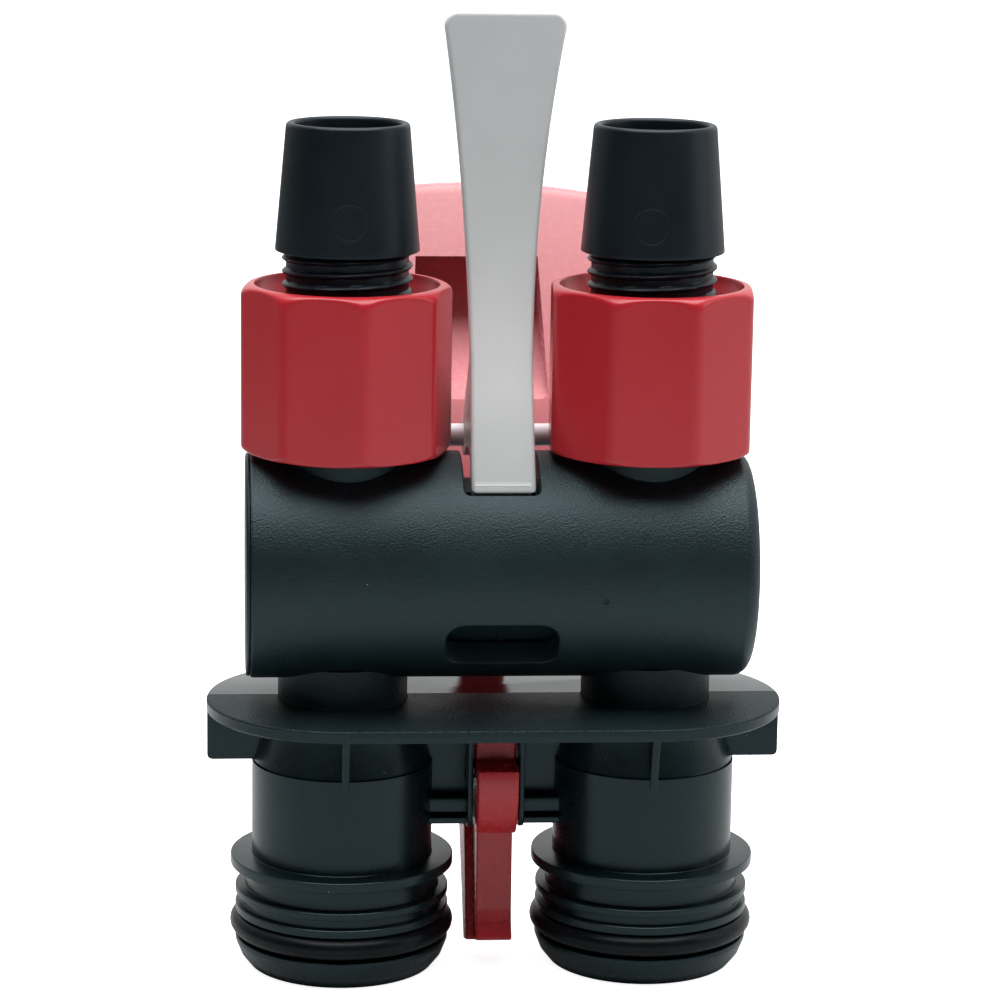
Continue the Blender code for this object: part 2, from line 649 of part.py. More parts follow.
def lock_lever():
    pivot = (0, PIVOT_Y, PIVOT_Z)
    steps = 14
    heights = [-3 + (SPADE_TOP + 4) * i / steps for i in range(steps + 1)]
    front = [(spade_front(max(z, 0)), z) for z in heights]
    back = [(y + SPADE_THICK + (1.5 if z < 20 else 0), z) for y, z in front]
    lever = solid("lock_lever", prism(front + back[::-1], -30, 30, "X"), RED, 0.35, pivot=pivot)
    edge = [(z, spade_half(z)) for z in heights if z < SPADE_TOP - 8]
    arc_centre = SPADE_TOP - SPADE_ARC_R
    top_angle = math.degrees(math.asin((SPADE_HALF - 4) / SPADE_ARC_R))
    corner_z = arc_centre + SPADE_ARC_R * math.cos(math.radians(top_angle)) - 4
    edge += arc((corner_z, SPADE_HALF - 4), 4, 90, top_angle, 4)
    edge += arc((arc_centre, 0), SPADE_ARC_R, top_angle * 0.75, top_angle * 0.25, 2)
    outline = edge + [(SPADE_TOP, 0)] + [(z, -x) for z, x in reversed(edge)]
    combine(lever, prism(outline, 0, 80, "Y"), "INTERSECT")
    scoop_back = [
        (spade_front(SCOOP_BOTTOM) - 2, SCOOP_BOTTOM),
        (spade_front(SCOOP_BOTTOM) + 0.4, SCOOP_BOTTOM),
        (spade_front(SCOOP_TOP) + SCOOP_DEPTH * 0.55, SCOOP_BOTTOM + 10),
        (spade_front(SCOOP_TOP) + SCOOP_DEPTH, SCOOP_TOP),
        (spade_front(SCOOP_TOP) - 3, SCOOP_TOP),
    ]
    shell = [
        (spade_front(SCOOP_BOTTOM - 3) + 1, SCOOP_BOTTOM - 3),
        (spade_front(SCOOP_TOP) + SCOOP_DEPTH * 0.55 + SCOOP_WALL, SCOOP_BOTTOM + 8.6),
        (spade_front(SCOOP_TOP) + SCOOP_DEPTH + SCOOP_WALL, SCOOP_TOP - 1),
        (spade_front(SCOOP_TOP) + SCOOP_DEPTH + SCOOP_WALL, SCOOP_TOP + SCOOP_WALL),
        (spade_front(SCOOP_TOP + SCOOP_WALL) + 1, SCOOP_TOP + SCOOP_WALL),
    ]
    hub = arc((PIVOT_Y, PIVOT_Z), HUB_R, 60, 118, 5)
    nose = arc((PIVOT_Y, PIVOT_Z), NOSE_R, 167.5, 236, 8)
    body = [*hub, (-4.5, -6.0), *nose, (2.0, -15.4), (14.0, -13.0)]
    body += [(24.0, -8.0), (24.0, 1.5), (18.9, 1.5), (18.9, -0.9)]
    claw = [(-4.2, -12.0), (-4.2, -27.0), (-5.6, -30.1), (-5.4, -30.5)]
    claw += [(3.0, -33.2), (18.3, -16.2), (17.0, -12.2)]
    heel = [(4.8, -16.2), (-1.5, -31.7), (2.9, -33.05), (18.1, -16.3)]
    shell_half = SCOOP_BOTTOM_HALF + SCOOP_WALL
    fuse(
        lever,
        prism(shell, -shell_half, shell_half, "X"),
        prism(body, -HUB_HALF, HUB_HALF, "X"),
        prism(claw, -CLAW_HALF, CLAW_HALF, "X"),
        prism(heel, HEEL_X, 0.5 - CLAW_HALF, "X"),
    )
    pocket = combine(lever, prism(scoop_back, -SCOOP_BOTTOM_HALF, SCOOP_BOTTOM_HALF, "X"), "DIFFERENCE")
    taper = [
        (SCOOP_BOTTOM - 1, -SCOOP_BOTTOM_HALF),
        (SCOOP_BOTTOM - 1, SCOOP_BOTTOM_HALF),
        (SCOOP_TOP + 1, SCOOP_TOP_HALF),
        (SCOOP_TOP + 1, -SCOOP_TOP_HALF),
    ]
    combine(pocket, prism(taper, 0, 80, "Y"), "INTERSECT")
    cut(lever, rod(PIN_R + GAP, -9, 9, "X", (PIVOT_Y, PIVOT_Z), 16))
    pin = rod(PIN_R, GAP - LUG_OUTER_X, LUG_OUTER_X - GAP, "X", (PIVOT_Y, PIVOT_Z), 16)
    solid("lock_pin", pin, STEEL, 0.3, 1.0, pivot)


def main():
    for thing in list(bpy.data.objects):
        bpy.data.objects.remove(thing)
    plug_plate()
    valve_housing()
    end_cap()
    valve_barrel()
    port_seals()
    water_stop_lever()
    hose_nozzles()
    union_nuts()
    spigot_and_plug_rings()
    lock_lever()


main()
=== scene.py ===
"""Looks of the twin-hose shut-off block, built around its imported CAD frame.

Every visible moulding is rebuilt finer than its CAD node: nuts with soft shoulders, nozzles with a
true helical thread, softened edges, a grained housing. Dimensions are millimetres in the frame of
the CAD part, and Z is up. The grey lever faces -Y.
"""

import json
import math

import bmesh
import bpy
from mathutils import Matrix, Vector


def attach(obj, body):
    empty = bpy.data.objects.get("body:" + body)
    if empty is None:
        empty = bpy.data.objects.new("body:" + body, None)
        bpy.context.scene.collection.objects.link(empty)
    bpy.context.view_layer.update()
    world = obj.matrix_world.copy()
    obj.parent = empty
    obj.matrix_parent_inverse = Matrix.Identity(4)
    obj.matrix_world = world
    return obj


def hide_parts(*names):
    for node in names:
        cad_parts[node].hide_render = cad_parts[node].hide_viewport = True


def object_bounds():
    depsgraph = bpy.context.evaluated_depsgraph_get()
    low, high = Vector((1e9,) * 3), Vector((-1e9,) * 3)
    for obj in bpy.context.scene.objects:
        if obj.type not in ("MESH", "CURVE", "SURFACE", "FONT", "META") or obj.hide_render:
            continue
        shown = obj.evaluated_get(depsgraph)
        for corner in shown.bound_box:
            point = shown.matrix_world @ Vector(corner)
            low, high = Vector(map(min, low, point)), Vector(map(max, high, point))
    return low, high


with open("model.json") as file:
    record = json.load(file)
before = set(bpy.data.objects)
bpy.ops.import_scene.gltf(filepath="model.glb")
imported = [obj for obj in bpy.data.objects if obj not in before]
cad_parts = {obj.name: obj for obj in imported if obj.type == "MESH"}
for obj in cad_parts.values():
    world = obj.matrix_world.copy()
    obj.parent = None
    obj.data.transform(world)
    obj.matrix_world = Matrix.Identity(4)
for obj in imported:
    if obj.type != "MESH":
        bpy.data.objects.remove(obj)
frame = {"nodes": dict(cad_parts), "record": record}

UNIT = 0.001
SIDES = {"left": -1, "right": 1}
PORT_X = 20.0
UPPER_X = 19.7  # the nozzles and nuts stand slightly closer together than the plugs
AXIS = (0.0, 19.5)  # the barrel's axis, as (y, z)
ROUND = 128  # sides of the large turned shapes

HOUSING_R = 14.8
CAVITY_R = 11.8
BARREL_R = 11.3
BOSS_R = 8.0
BOSS_TOP = 44.4
SPIGOT_R = 8.5
SPIGOT_BOTTOM = -8.4
PORT_BORE_R = 5.4
NUT_TOP = 56.5
NUT_BOTTOM = 34.75
NUT_FLAT = 12.9
NUT_CORNER_ROUND = 2.35
NUT_FACING_DEG = {"left": 7.2, "right": 19.1}
NOZZLE_TOP = 77.2
CONE_BOTTOM = 60.8
CONE_R = 9.3
TIP_R = 7.95
SHANK_BOTTOM = 44.7
SHANK_R = 7.9
NECK_R = 6.0
THREAD_PITCH = 1.7
THREAD_DEPTH = 0.52
PLATE_R = 17.87
PLATE_TOP = 1.66
PLUG_BOTTOM = -34.5
TUBE_R = 11.9
TUBE_TOP_R = 10.5
LEVER_TOP = 91.5
LEVER_THICK = 3.0
LEVER_BEND_R = 79.4
LEVER_BEND = (-79.3, 69.4)  # the centre of the bend, as (y, z)
LEVER_WAIST_Z = 44.5
FOOT_DEG = 122.0  # where the grey lever's foot stands on the barrel
CROSS_BAR = (9.5, 34.8)  # the bar behind the grey lever, as (y, z)
PIVOT = (-1.0, -8.0)  # the lock lever's pin, as (y, z)
PIN_R = 1.3
SPADE_TOP = 63.5

# The camera, in degrees, millimetres of lens and sensor, and metres of distance and target
CAMERA_YAW, CAMERA_PITCH, CAMERA_ROLL = 4.62, 11.96, -0.85
CAMERA_LENS, CAMERA_SENSOR = 129.6, 36.0
CAMERA_DISTANCE = 0.470
CAMERA_TARGET = (0.0004, 0, 0.02795)

FRONT_LIGHT = 0.1  # how bright the surroundings are in front, against 1 behind
# painted shade: the floor's colour for the light it throws back, on the left and far in front
SHADED_PAPER = (0.12, 0.13, 0.13)
PAINTED_GLOW_RED = (0.60, 0.235, 0.252)  # painted light: the pale red of the glow where light passes through the thin blade
SHADED_GREY = (0.30, 0.33, 0.32)


# ---------------------------------------------------------------- shapes


def polar(centre, radius, degrees):
    turn = math.radians(degrees)
    return (centre[0] + radius * math.cos(turn), centre[1] + radius * math.sin(turn))


def arc(centre, radius, first, last, steps):
    return [polar(centre, radius, first + (last - first) * i / steps) for i in range(steps + 1)]


def softened(points, radius, steps=3, keep=()):
    """A closed outline with its corners rounded, except those whose index is in keep."""
    outline = []
    count = len(points)
    for i, here in enumerate(points):
        before = Vector(points[i - 1]) - Vector(here)
        after = Vector(points[(i + 1) % count]) - Vector(here)
        half = before.angle(after, math.pi) / 2
        reach = min(radius / math.tan(half), 0.45 * before.length, 0.45 * after.length) if half > 0.05 else 0
        if i in keep or half > math.radians(85) or reach <= 1e-4:
            outline.append(tuple(here))
            continue
        start = Vector(here) + before.normalized() * reach
        end = Vector(here) + after.normalized() * reach
        for step in range(steps + 1):
            t = step / steps
            point = start * (1 - t) ** 2 + Vector(here) * 2 * t * (1 - t) + end * t**2
            outline.append(tuple(point))
    return outline


def placed(axis, u, v, along):
    return {"X": (along, u, v), "Y": (v, along, u), "Z": (u, v, along)}[axis]


def lofted(sections, closed=True, strips=False):
    """A solid through sections of equally many points, capped at both ends or turned into a ring.

    Strips caps each end with bands from side to side, for ends that bend along their length.
    """
    made = bmesh.new()
    rings = [[made.verts.new(p) for p in section] for section in sections]
    pairs = list(zip(rings, rings[1:]))
    if strips:
        for rim in (rings[0], rings[-1]):
            banded(made, rim)
    elif closed:
        made.faces.new(rings[0][::-1])
        made.faces.new(rings[-1])
    else:
        pairs.append((rings[-1], rings[0]))
    for low, high in pairs:
        for i in range(len(low)):
            made.faces.new((low[i - 1], low[i], high[i], high[i - 1]))
    bmesh.ops.recalc_face_normals(made, faces=made.faces)
    return made


def banded(made, rim):
    """Closes a rim that mirrors about X = 0 with bands across it, from its one end to the other."""
    half = len(rim) // 2
    top = next(i for i, vertex in enumerate(rim) if abs(vertex.co.x) < 1e-6)
    around = [rim[(top + k) % len(rim)] for k in range(-half, half + 1)]
    flat = next(k for k in range(1, half) if abs(around[half + k].co.z - around[half].co.z) > 1e-6)
    made.faces.new(around[half - flat : half + flat + 1])
    for k in range(flat, half - flat):
        made.faces.new((around[half + k], around[half + k + 1], around[half - k - 1], around[half - k]))
    made.faces.new(around[-flat - 1 :] + around[1 : flat + 1])


def turned(profile, axis="Z", about=(0, 0), sides=ROUND, radius_at=None):
    """A closed (radius, height) profile turned about a line. radius_at may change each radius."""
    made = bmesh.new()
    rings = []
    for index, (radius, height) in enumerate(profile):
        if radius == 0:
            rings.append([made.verts.new(placed(axis, *about, height))] * sides)
            continue
        ring = []
        for i in range(sides):
            degrees = 360 * (i + 0.5) / sides
            r = radius_at(index, radius, height, degrees) if radius_at else radius
            u, v = polar(about, r, degrees)
            ring.append(made.verts.new(placed(axis, u, v, height)))
        rings.append(ring)
    for low, high in zip(rings, rings[1:] + rings[:1]):
        for i in range(sides):
            corners = dict.fromkeys((low[i - 1], low[i], high[i], high[i - 1]))
            if len(corners) > 2:
                made.faces.new(corners)
    bmesh.ops.recalc_face_normals(made, faces=made.faces)
    return made


def prism(outline, low, high, axis, edge=0.0):
    """An outline extruded along an axis, with its two rims rounded by edge."""
    if edge == 0:
        return lofted([[placed(axis, u, v, end) for u, v in outline] for end in (low, high)])
    sections = []
    for end, sign in ((low, 1), (high, -1)):
        levels = []
        for step in range(4):
            turn = math.pi / 2 * step / 3
            levels.append((end + sign * edge * (1 - math.sin(turn)), edge * (1 - math.cos(turn))))
        sections += levels[::-1] if sign == 1 else levels
    return lofted([[placed(axis, u, v, h) for u, v in inset(outline, by)] for h, by in sections])


def inset(outline, by):
    """An outline moved inwards by a distance, each corner along its bisector."""
    if by == 0:
        return outline
    area = sum(a[0] * b[1] - b[0] * a[1] for a, b in zip(outline, outline[1:] + outline[:1]))
    turn = 1 if area > 0 else -1
    moved = []
    count = len(outline)
    for i, here in enumerate(outline):
        into = (Vector(here) - Vector(outline[i - 1])).normalized()
        out = (Vector(outline[(i + 1) % count]) - Vector(here)).normalized()
        first, second = Vector((-into.y, into.x)) * turn, Vector((-out.y, out.x)) * turn
        bisector = first + second
        if bisector.length < 1e-6:
            moved.append(tuple(here))
            continue
        bisector.normalize()
        stretch = min(1 / max(bisector.dot(first), 0.3), 1.8)
        moved.append(tuple(Vector(here) + bisector * by * stretch))
    return moved


def block(low, high, edge=0.25):
    outline = [(low[0], low[1]), (high[0], low[1]), (high[0], high[1]), (low[0], high[1])]
    return prism(softened(outline, edge), low[2], high[2], "Z", edge)


def rounded_rectangle(half_a, half_b, corner, steps=5, along=1):
    """A rectangle with round corners about the origin, its long sides split into short steps."""
    outline = []
    for sign_a, sign_b, start in ((1, 1, 0), (-1, 1, 90), (-1, -1, 180), (1, -1, 270)):
        centre = (sign_a * (half_a - corner), sign_b * (half_b - corner))
        outline += arc(centre, corner, start, start + 90, steps)
    divided = []
    for a, b in zip(outline, outline[1:] + outline[:1]):
        count = max(1, round(math.dist(a, b) / along)) if math.dist(a, b) > 2 * along else 1
        for k in range(count):
            divided.append((a[0] + (b[0] - a[0]) * k / count, a[1] + (b[1] - a[1]) * k / count))
    return divided


def radial_cutter(half_x, first_deg, last_deg, corner, deepest, edge):
    """Cuts a rounded opening into the housing's wall, towards its axis, with a softened rim."""
    middle = math.radians((first_deg + last_deg) / 2)
    half_turn = math.radians(last_deg - first_deg) / 2
    levels = [(deepest, 0.0), (HOUSING_R - edge, 0.0), (HOUSING_R - edge * 0.3, edge * 0.3)]
    levels += [(HOUSING_R + 0.1, edge + 0.1), (HOUSING_R + 2.0, edge + 2.0)]
    sections = []
    for radius, grow in levels:
        shape = rounded_rectangle(half_x + grow, half_turn * HOUSING_R + grow, corner + grow)
        section = []
        for x, s in shape:
            turn = middle + s / HOUSING_R
            section.append((x, AXIS[0] + radius * math.cos(turn), AXIS[1] + radius * math.sin(turn)))
        sections.append(section)
    return lofted(sections, strips=True)


def ring(centre_r, section_r, height, axis="Z", about=(0, 0), sides=96):
    return turned(arc((centre_r, height), section_r, 0, 340, 17), axis, about, sides)


# ---------------------------------------------------------------- pieces


def new_object(name, made):
    mesh = bpy.data.meshes.new(name)
    for vertex in made.verts:
        vertex.co *= UNIT
    made.to_mesh(mesh)
    made.free()
    thing = bpy.data.objects.new(name, mesh)
    bpy.context.scene.collection.objects.link(thing)
    return thing


def joined(base, unions=(), cuts=()):
    """One bmesh from a base with shapes fused to it and shapes cut from it."""
    target = new_object("target", base)
    tools = []
    for operation, shapes in (("UNION", unions), ("DIFFERENCE", cuts)):
        for shape in shapes:
            tool = new_object("tool", shape)
            modifier = target.modifiers.new(operation, "BOOLEAN")
            modifier.operation = operation
            modifier.solver = "MANIFOLD"
            modifier.object = tool
            tools.append(tool)
    bpy.context.view_layer.update()
    result = target.evaluated_get(bpy.context.evaluated_depsgraph_get())
    made = bmesh.new()
    made.from_mesh(result.to_mesh())
    for vertex in made.verts:
        vertex.co /= UNIT
    for tool in [target, *tools]:
        bpy.data.objects.remove(tool)
    bmesh.ops.remove_doubles(made, verts=made.verts, dist=0.002)
    bmesh.ops.dissolve_degenerate(made, edges=made.edges, dist=0.002)
    return made


def piece(name, made, body, material, nodes=(), sharp=32, rounds=()):
    """A visible piece on a CAD body. rounds are cylinders whose exact normals the faces on them get."""
    thing = new_object(name, made)
    mesh = thing.data
    mesh.shade_smooth()
    mesh.set_sharp_from_angle(angle=math.radians(sharp))
    if rounds:
        mesh.normals_split_custom_set(true_normals(mesh, rounds))
    mesh.materials.append(material)
    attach(thing, body)
    if nodes:
        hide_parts(*nodes)
    return thing


def true_normals(mesh, rounds):
    """Corner normals with those of the faces that lie on a given cylinder (axis, centre, radius) exact."""
    normals = [Vector(n.vector) for n in mesh.corner_normals]
    for polygon in mesh.polygons:
        for axis, centre, radius in rounds:
            keep = {"X": (1, 2), "Z": (0, 1)}[axis]
            offsets = []
            for index in polygon.vertices:
                co = mesh.vertices[index].co / UNIT
                offsets.append(Vector((co[keep[0]] - centre[0], co[keep[1]] - centre[1])))
            if any(abs(o.length - radius) > 0.03 for o in offsets):
                continue
            for loop, offset in zip(polygon.loop_indices, offsets):
                out = offset.normalized()
                normal = Vector((0, 0, 0))
                normal[keep[0]], normal[keep[1]] = out
                if normal.dot(polygon.normal) < 0:
                    normal = -normal
                normals[loop] = normal
            break
    return normals


# ---------------------------------------------------------------- materials


class Graph:
    """Short names for building one material's nodes."""

    def __init__(self, name, colour, roughness, **inputs):
        self.material = bpy.data.materials.new(name)
        self.material.use_nodes = True
        self.tree = self.material.node_tree
        self.shader = self.tree.nodes["Principled BSDF"]
        self.shader.inputs["Base Color"].default_value = (*colour, 1)
        self.shader.inputs["Roughness"].default_value = roughness
        for key, value in inputs.items():
            self.shader.inputs[key.replace("_", " ")].default_value = value
        self.place = self.add("ShaderNodeTexCoord").outputs["Object"]

    def add(self, kind, **settings):
        node = self.tree.nodes.new(kind)
        for key, value in settings.items():
            if key in node.inputs:
                node.inputs[key].default_value = value
            else:
                setattr(node, key, value)
        return node

    def link(self, output, target):
        self.tree.links.new(output, target)

    def coordinates(self):
        """Sockets with the X, Y and Z of a point on the piece, in metres."""
        node = self.add("ShaderNodeSeparateXYZ")
        self.link(self.place, node.inputs["Vector"])
        return node.outputs

    def noise(self, per_metre, detail=2.0, rough=0.5, stretch=(1, 1, 1)):
        mapping = self.add("ShaderNodeMapping")
        mapping.inputs["Scale"].default_value = stretch
        self.link(self.place, mapping.inputs["Vector"])
        node = self.add("ShaderNodeTexNoise", Scale=per_metre, Detail=detail, Roughness=rough)
        self.link(mapping.outputs["Vector"], node.inputs["Vector"])
        return node.outputs["Fac"]

    def cells(self, per_metre, feature="F1"):
        node = self.add("ShaderNodeTexVoronoi", Scale=per_metre, feature=feature)
        self.link(self.place, node.inputs["Vector"])
        return node.outputs["Distance"]

    def spread(self, value, low, high, to_low=0.0, to_high=1.0):
        node = self.add("ShaderNodeMapRange")
        self.link(value, node.inputs["Value"])
        for key, amount in (("From Min", low), ("From Max", high), ("To Min", to_low), ("To Max", to_high)):
            node.inputs[key].default_value = amount
        return node.outputs["Result"]

    def math(self, operation, a, b):
        node = self.add("ShaderNodeMath", operation=operation)
        for socket, value in zip(node.inputs, (a, b)):
            if isinstance(value, (int, float)):
                socket.default_value = value
            else:
                self.link(value, socket)
        return node.outputs["Value"]

    def blend(self, factor, first, second):
        node = self.add("ShaderNodeMix", data_type="RGBA")
        self.link(factor, node.inputs["Factor"])
        for key, colour in (("A", first), ("B", second)):
            socket = next(s for s in node.inputs if s.name == key and s.type == "RGBA")
            if isinstance(colour, tuple):
                socket.default_value = (*colour, 1)
            else:
                self.link(colour, socket)
        return next(s for s in node.outputs if s.type == "RGBA")

    def colour(self, output):
        self.link(output, self.shader.inputs["Base Color"])

    def roughness(self, output):
        self.link(output, self.shader.inputs["Roughness"])

    def bump(self, height, depth, strength=1.0):
        """Bumps stacked one on the other, each as deep as depth metres."""
        node = self.add("ShaderNodeBump", Distance=depth, Strength=strength)
        self.link(height, node.inputs["Height"])
        previous = self.shader.inputs["Normal"].links
        if previous:
            self.link(previous[0].from_socket, node.inputs["Normal"])
        self.link(node.outputs["Normal"], self.shader.inputs["Normal"])

    def dust(self, base, colour=(0.35, 0.37, 0.37), cover=0.03):
        """A few pale specks of dust over a base colour output."""
        specks = self.spread(self.cells(420.0), cover * 0.6, cover, 1.0, 0.0)
        sparse = self.spread(self.noise(160.0, 0.0), 0.60, 0.64)
        return self.blend(self.math("MULTIPLY", specks, sparse), base, colour)


def black_satin(name, grain=0.0, rough=0.36, tint=(0.0030, 0.0080, 0.0096), wave=0.0, shine=0.3):
    """Black moulding: optional leather grain, faint flow waves, cloudy sheen and a little dust."""
    g = Graph(name, tint, rough, Specular_IOR_Level=shine, Specular_Tint=(0.66, 0.89, 0.97, 1))
    lighter = tuple(1.4 * c + 0.001 for c in tint)
    cloud = g.noise(85.0, 3.0, 0.55)
    g.colour(g.dust(g.blend(g.spread(cloud, 0.3, 0.7), tint, lighter)))
    fine = g.noise(700.0, 3.0, 0.6)
    sheen = g.math("ADD", cloud, g.math("MULTIPLY", fine, 0.5))
    g.roughness(g.spread(sheen, 0.35, 1.2, rough - 0.05, rough + 0.09))
    if wave:
        g.bump(g.noise(120.0, 1.0, 0.4), wave)
    if grain:
        g.bump(g.cells(4300.0, "SMOOTH_F1"), grain)
        g.bump(g.noise(6800.0, 2.0, 0.55), grain * 0.8)
    else:
        g.bump(g.noise(2600.0, 2.0, 0.6), 0.000004)
    return g


def plate_satin(name):
    """The plug plate's black. Its top is grained in front of the parting line and polished behind it."""
    g = black_satin(name, rough=0.27, wave=0.00005, shine=0.3)
    place = g.coordinates()
    top = g.spread(place["Z"], 0.0012, 0.0014)
    grained = g.math("MULTIPLY", top, g.spread(place["Y"], 0.00105, 0.00095))
    plain = g.shader.inputs["Roughness"].links[0].from_socket
    polished = g.math("SUBTRACT", plain, g.math("MULTIPLY", top, 0.14))
    g.roughness(g.math("ADD", polished, g.math("MULTIPLY", grained, 0.38)))
    g.bump(g.math("MULTIPLY", g.cells(3300.0, "SMOOTH_F1"), grained), 0.00009)
    return g


def gate_marks(g, centres, radius):
    """Faint round gate marks on the front of a material's pieces."""
    place = g.coordinates()
    behind = g.spread(place["Y"], -0.001, 0.0)
    for x, z in centres:
        across, up = g.math("SUBTRACT", place["X"], x), g.math("SUBTRACT", place["Z"], z)
        square = g.math("ADD", g.math("MULTIPLY", across, across), g.math("MULTIPLY", up, up))
        off = g.math("ABSOLUTE", g.math("SUBTRACT", g.math("SQRT", square, 0.0), radius), 0.0)
        g.bump(g.math("MAXIMUM", g.spread(off, 0.00005, 0.00025), behind), 0.00004)


def red_satin(name, colour, pale, rough=0.3, painted_glow=False):
    """Red moulding: soft mottling, a satin skin and shallow flow waves. The lever's one also pales upwards,
    painted light for the glow through its thin blade above the shaded stem.
    """
    g = Graph(name, colour, rough, Specular_IOR_Level=0.38)
    base = g.blend(g.spread(g.noise(55.0, 2.0), 0.25, 0.75), colour, pale)
    if painted_glow:
        # painted light: the colour pales upwards into the blade's glow, and the stem low down keeps the
        # darker red of its shade
        base = g.blend(g.spread(g.coordinates()["Z"], 0.014, 0.036), base, PAINTED_GLOW_RED)
        g.shader.inputs["Subsurface Weight"].default_value = 0.3
        g.shader.inputs["Subsurface Radius"].default_value = (1.0, 0.25, 0.25)
        g.shader.inputs["Subsurface Scale"].default_value = 0.004
    g.colour(base)
    g.roughness(g.spread(g.noise(900.0, 3.0, 0.6), 0.3, 0.7, rough - 0.02, rough + 0.03))
    g.bump(g.noise(150.0, 1.0), 0.000008 if painted_glow else 0.00002)
    g.bump(g.noise(3000.0, 2.0, 0.6), 0.0000012)
    return g


def rubber(name):
    g = Graph(name, (0.003, 0.005, 0.006), 0.34, Specular_IOR_Level=0.13)
    base = g.blend(g.spread(g.noise(200.0, 3.0), 0.3, 0.7), (0.002, 0.003, 0.004), (0.004, 0.006, 0.008))
    g.colour(g.dust(base))
    g.roughness(g.spread(g.noise(1500.0, 3.0, 0.6), 0.3, 0.7, 0.27, 0.42))
    g.bump(g.noise(2200.0, 3.0, 0.6), 0.000006)
    return g


def grey_satin(name, colour=(0.645, 0.66, 0.665), painted_low_shade=False):
    """Pale grey moulding with a soft sheen, faint clouds and fine scuffs. The lever's one also darkens low
    down, painted shade where its lower end sits between the nuts.
    """
    g = Graph(name, colour, 0.38, Specular_IOR_Level=0.45)
    darker = tuple(c * 0.93 for c in colour)
    base = g.blend(g.spread(g.noise(70.0, 3.0), 0.3, 0.7), darker, colour)
    if painted_low_shade:
        # painted shade: darker towards the lever's lower end, where the nuts shade it
        base = g.blend(g.spread(g.coordinates()["Z"], 0.030, 0.043, 0.75, 0.0), base, SHADED_GREY)
    g.colour(base)
    scuffs = g.noise(420.0, 4.0, 0.65, (1.0, 1.0, 0.2))
    g.roughness(g.spread(scuffs, 0.3, 0.75, 0.33, 0.46))
    g.bump(g.noise(2400.0, 2.0, 0.6), 0.000004)
    return g


def steel(name):
    g = Graph(name, (0.55, 0.55, 0.56), 0.28, Metallic=1.0)
    lines = g.noise(900.0, 3.0, 0.6, (0.05, 1.0, 1.0))
    g.colour(g.blend(g.spread(lines, 0.3, 0.7), (0.48, 0.48, 0.49), (0.62, 0.62, 0.63)))
    g.roughness(g.spread(lines, 0.3, 0.7, 0.2, 0.36))
    g.bump(lines, 0.000004)
    return g


# ---------------------------------------------------------------- nozzles and nuts


def thread_radius(index, radius, height, degrees):
    """The shank's radius with a round ridge that climbs one pitch a turn and fades at both ends."""
    if radius < SHANK_R - 0.1 or not SHANK_BOTTOM + 0.5 < height < CONE_BOTTOM - 0.15:
        return radius
    phase = ((height - 0.3) / THREAD_PITCH - degrees / 360) % 1
    ridge = max(0.0, math.cos((phase - 0.5) * 2 * math.pi)) ** 0.8
    fade = min(1, (height - SHANK_BOTTOM - 0.5) / 1.5) * min(1, (CONE_BOTTOM - 0.15 - height) / 0.35)
    return radius + THREAD_DEPTH * ridge * max(0.0, fade)


def nozzles(material):
    for name, side in SIDES.items():
        seat = [(4.0, 36.2), (5.8, 36.2), (NECK_R, 36.4), (NECK_R, 39.2), (4.95, 39.2), (4.95, 40.8)]
        seat += [(NECK_R, 40.8), (NECK_R, SHANK_BOTTOM)]
        rows = 100
        low, high = SHANK_BOTTOM, CONE_BOTTOM - 0.02
        shank = [(SHANK_R, low + (high - low) * i / rows) for i in range(rows + 1)]
        foot_top, lip_r = 60.98, 0.53
        foot = [(8.75, CONE_BOTTOM), (9.18, CONE_BOTTOM), (9.28, 60.85), (CONE_R, foot_top)]
        lip = arc((7.42, NOZZLE_TOP - lip_r), lip_r, 0, 180, 10)
        cone = []
        rows = 24
        for i in range(1, rows):
            height = foot_top + (lip[0][1] - foot_top) * i / rows
            cone.append((CONE_R + (TIP_R - CONE_R) * i / rows, height))
        inside = [(6.88, 76.0), (6.7, 74.0), (5.6, CONE_BOTTOM), (4.0, 48.7)]
        profile = [*seat, *shank, *foot, *cone, *lip, *inside]
        made = turned(profile, about=(side * UPPER_X, 0), radius_at=thread_radius)
        piece(f"{name}_nozzle", made, "block", material, [f"{name}_hose_nozzle"], 40)


def octagon_radius(degrees, facing):
    """Distance from a nut's axis to its rounded eight-sided outline in one direction."""
    off = math.radians(abs((degrees - facing + 22.5) % 45 - 22.5))
    centre = (NUT_FLAT - NUT_CORNER_ROUND) / math.cos(math.radians(22.5))
    tangent = math.atan2(
        NUT_CORNER_ROUND * math.sin(math.radians(22.5)),
        centre + NUT_CORNER_ROUND * math.cos(math.radians(22.5)),
    )
    if off < tangent:
        return centre * math.cos(off) + math.sqrt(NUT_CORNER_ROUND**2 - (centre * math.sin(off)) ** 2)
    return NUT_FLAT / math.cos(math.radians(22.5) - off)


def soft_min(a, b, width):
    h = max(0.0, min(1.0, 0.5 + 0.5 * (b - a) / width))
    return b * (1 - h) + a * h - width * h * (1 - h)


